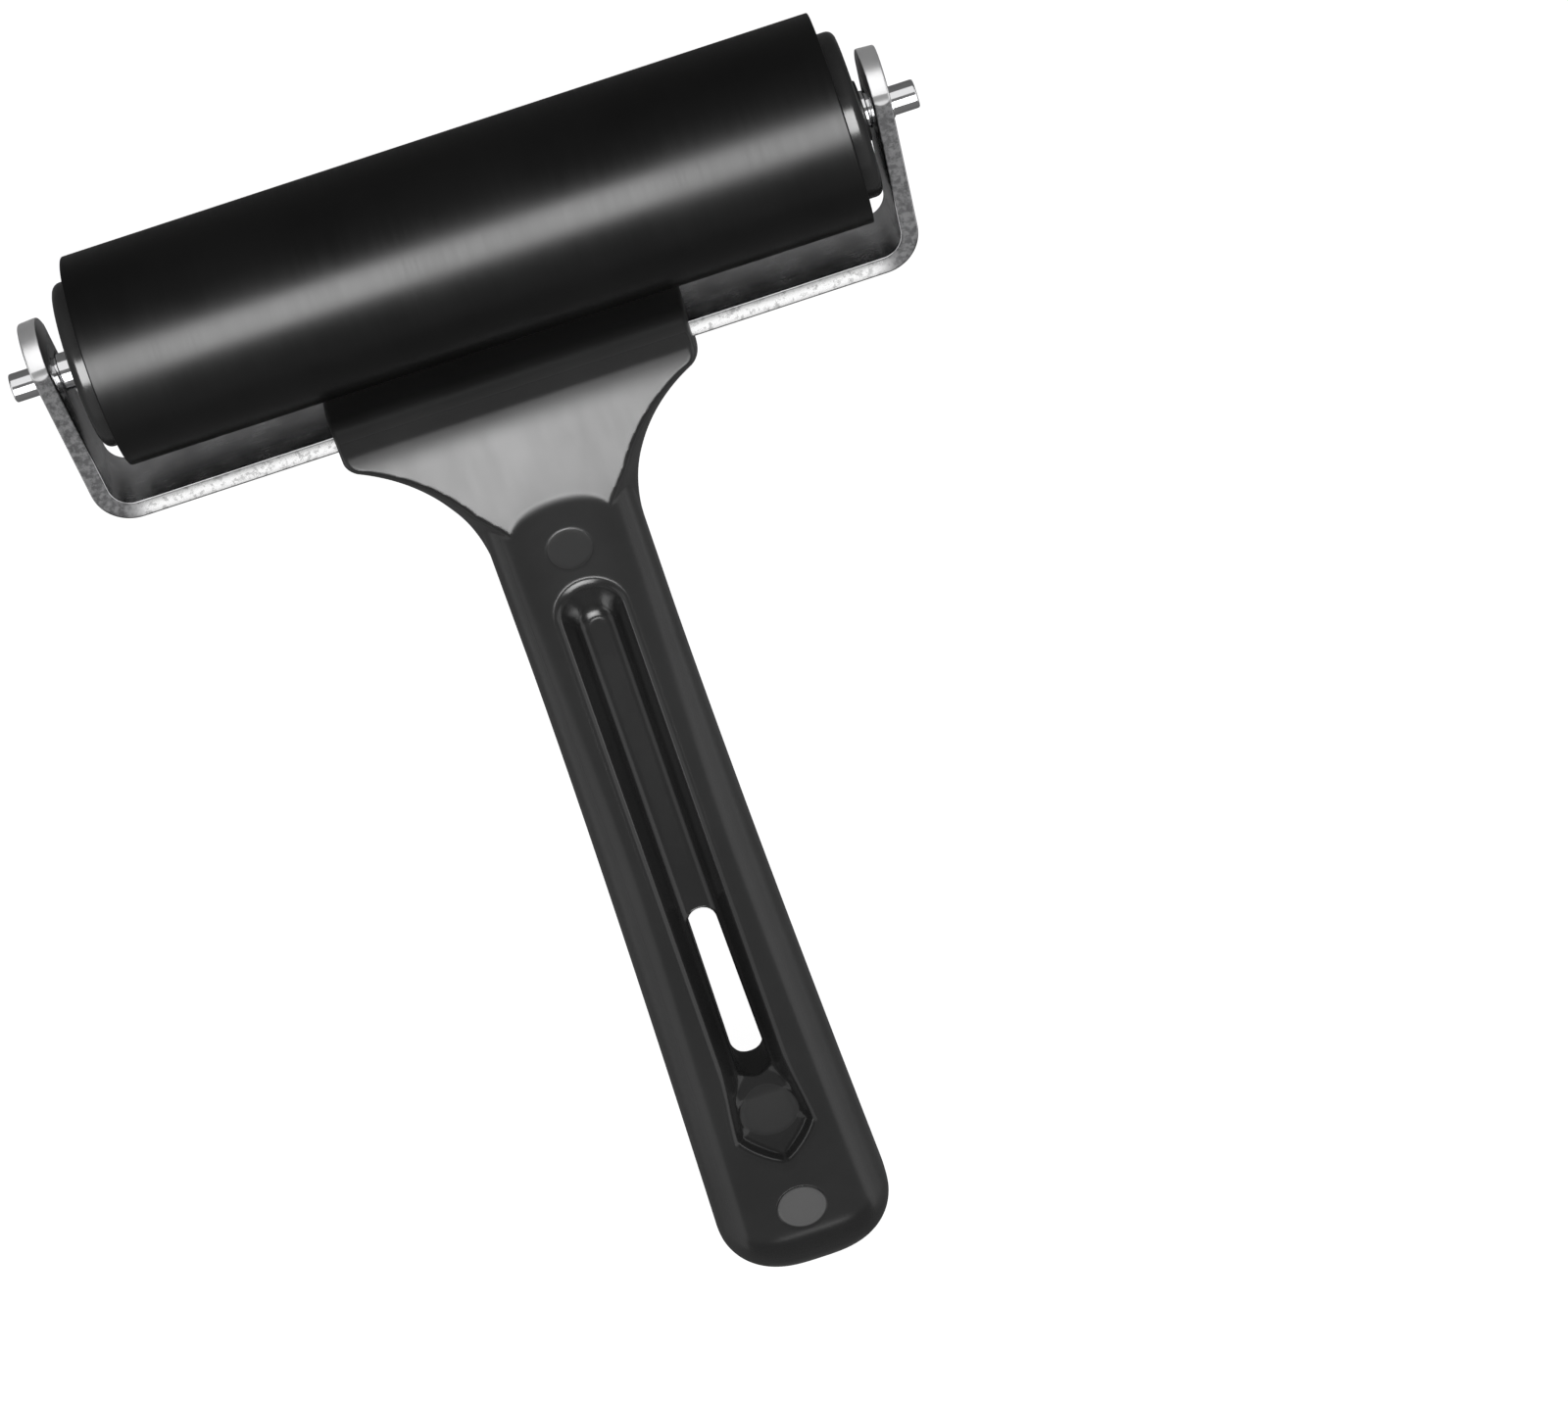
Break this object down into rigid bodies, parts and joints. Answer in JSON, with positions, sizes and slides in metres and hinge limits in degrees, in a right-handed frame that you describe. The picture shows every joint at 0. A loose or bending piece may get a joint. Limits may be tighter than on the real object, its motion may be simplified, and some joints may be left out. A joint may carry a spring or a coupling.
{
  "type": "rubber brayer",
  "caption": "Hand brayer: a rubber-covered roller spinning on a steel axle in a bent strip yoke, with a moulded plastic handle, finger channel and hanging slot.",
  "frame": {"origin": "on the roller's axis, midway between the two ears of the yoke", "axes": "+X along the axle to the right ear, the handle runs toward -Y, +Z out of the handle's channel side"},
  "size_m": [0.1216, 0.186, 0.028],
  "materials": {
    "rubber": "smooth ground rubber with a soft satin sheen",
    "core_plastic": "extruded rigid plastic tube",
    "cap_plastic": "moulded black plastic, satin gloss",
    "axle_steel": "bright nickel-plated steel rod with fine turning marks",
    "washer_plastic": "black nylon",
    "yoke_steel": "bright plated strip, sheared edges with fine scratches",
    "handle_plastic": "moulded black plastic, satin gloss with faint flow and rub marks"
  },
  "bodies": {
    "frame": {"yoke": "yoke_steel", "axle": "axle_steel", "left_thrust_washer": "washer_plastic", "right_thrust_washer": "washer_plastic", "handle": "handle_plastic"},
    "roller": {"rubber_sleeve": "rubber", "roller_core": "core_plastic", "left_end_cap": "cap_plastic", "right_end_cap": "cap_plastic"}
  },
  "joints": [
    {"name": "roller_spin", "type": "hinge", "parent": "frame", "child": "roller", "pos_m": [0, 0, 0], "axis": [1, 0, 0], "continuous": true}
  ]
}
